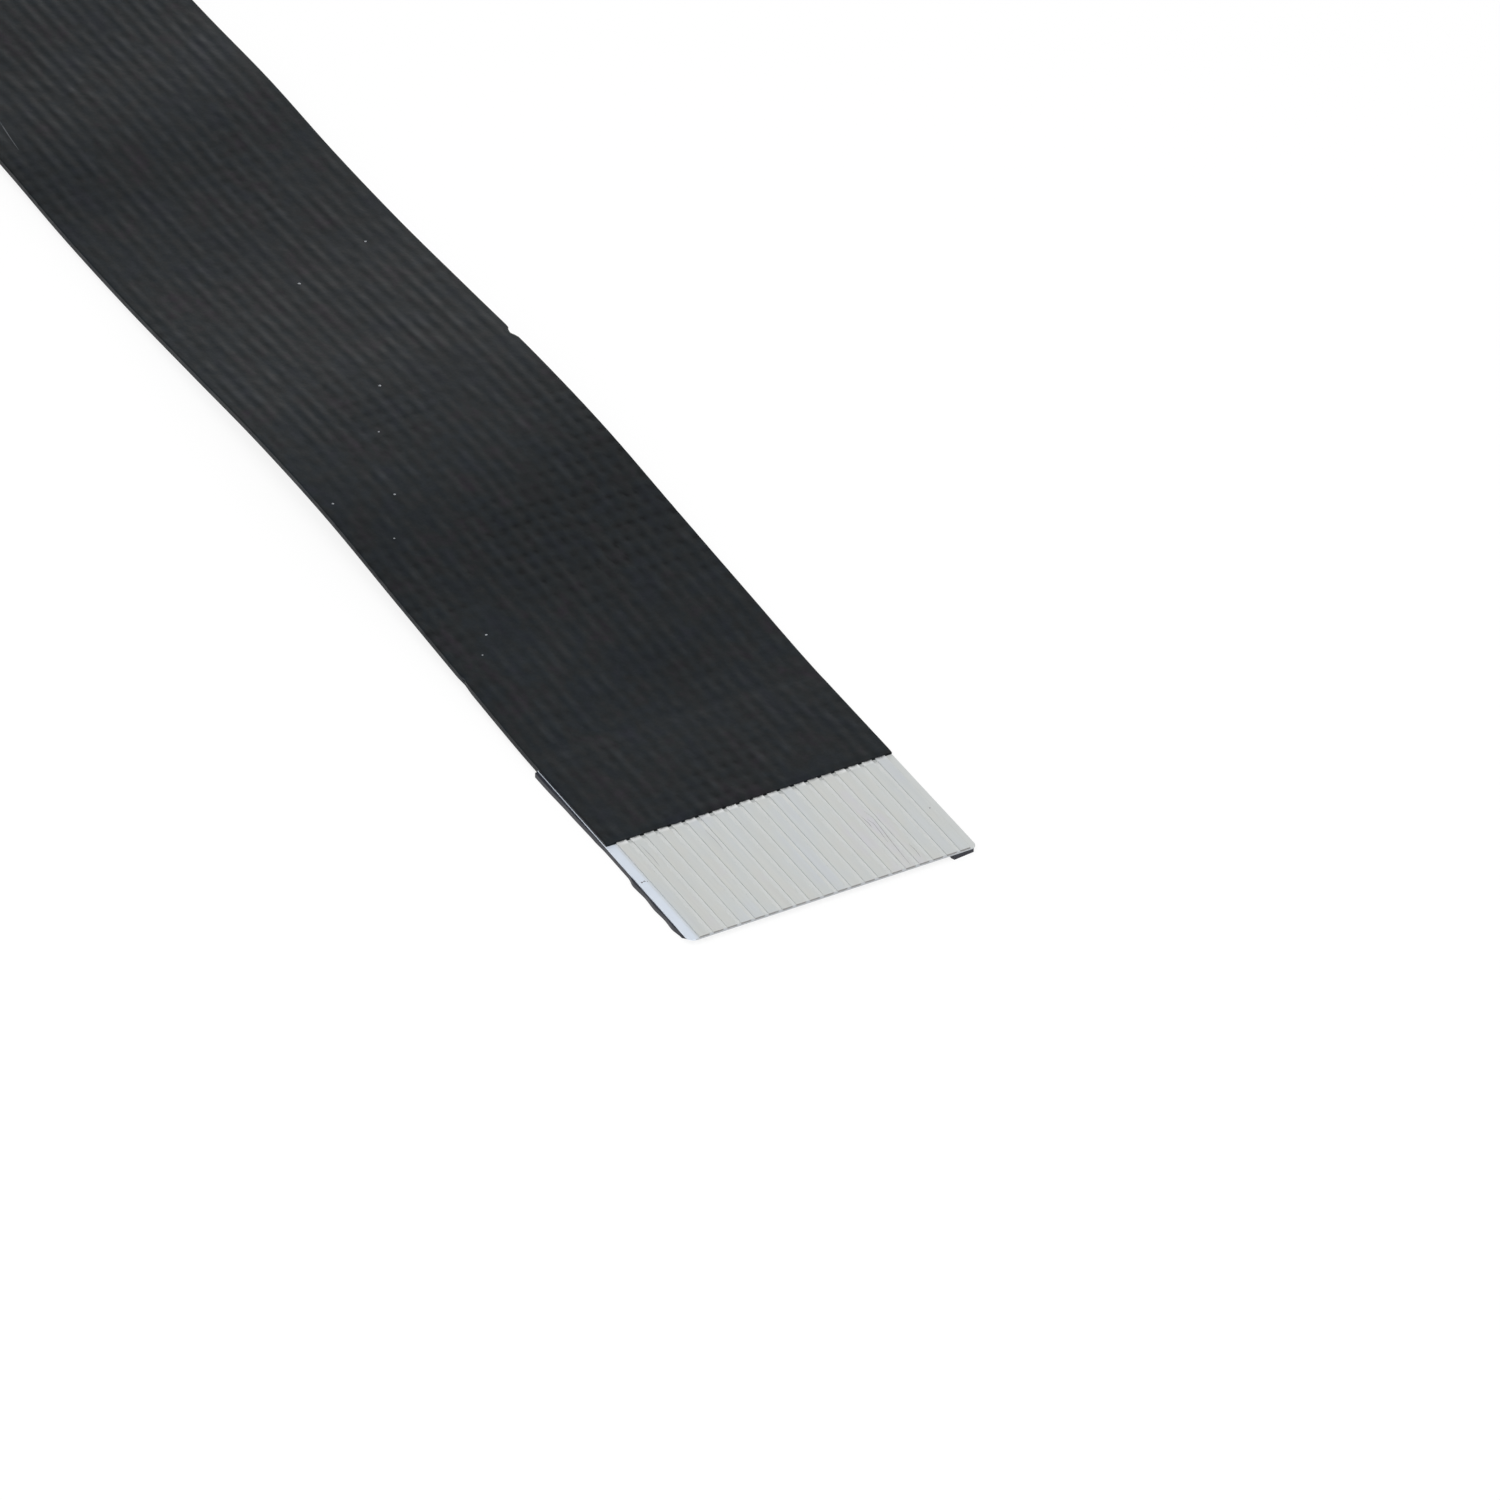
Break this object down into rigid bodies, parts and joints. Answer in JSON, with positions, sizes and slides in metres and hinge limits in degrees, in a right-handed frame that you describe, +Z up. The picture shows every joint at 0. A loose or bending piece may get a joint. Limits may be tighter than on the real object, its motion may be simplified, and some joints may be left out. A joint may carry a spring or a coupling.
{
  "type": "ribbon cable",
  "caption": "Flat flexible ribbon cable with a black ribbed jacket that waves slightly, and a bare, stiffened contact end with tinned flat conductors at each tip.",
  "frame": {"origin": "middle of the underside of the cable's box, on the surface that it lies on", "axes": "+X along the cable to the near contact end, +Y across it, +Z up, the side that the contacts face"},
  "size_m": [0.08, 0.0106, 0.0011],
  "materials": {
    "jacket": "black ribbed film, satin",
    "carrier": "pale, slightly bluish film",
    "contact": "tinned copper, satin",
    "stiffener": "dark blue-grey film, satin"
  },
  "bodies": {
    "root": {"near_stiffener": "stiffener", "far_stiffener": "stiffener", "lower_jacket": "jacket", "carrier_film": "carrier", "upper_jacket": "jacket", "conductor_01": "contact", "conductor_02": "contact", "conductor_03": "contact", "conductor_04": "contact", "conductor_05": "contact", "conductor_06": "contact", "conductor_07": "contact", "conductor_08": "contact", "conductor_09": "contact", "conductor_10": "contact", "conductor_11": "contact", "conductor_12": "contact", "conductor_13": "contact", "conductor_14": "contact", "conductor_15": "contact", "conductor_16": "contact", "conductor_17": "contact", "conductor_18": "contact", "conductor_19": "contact", "conductor_20": "contact"}
  },
  "joints": []
}
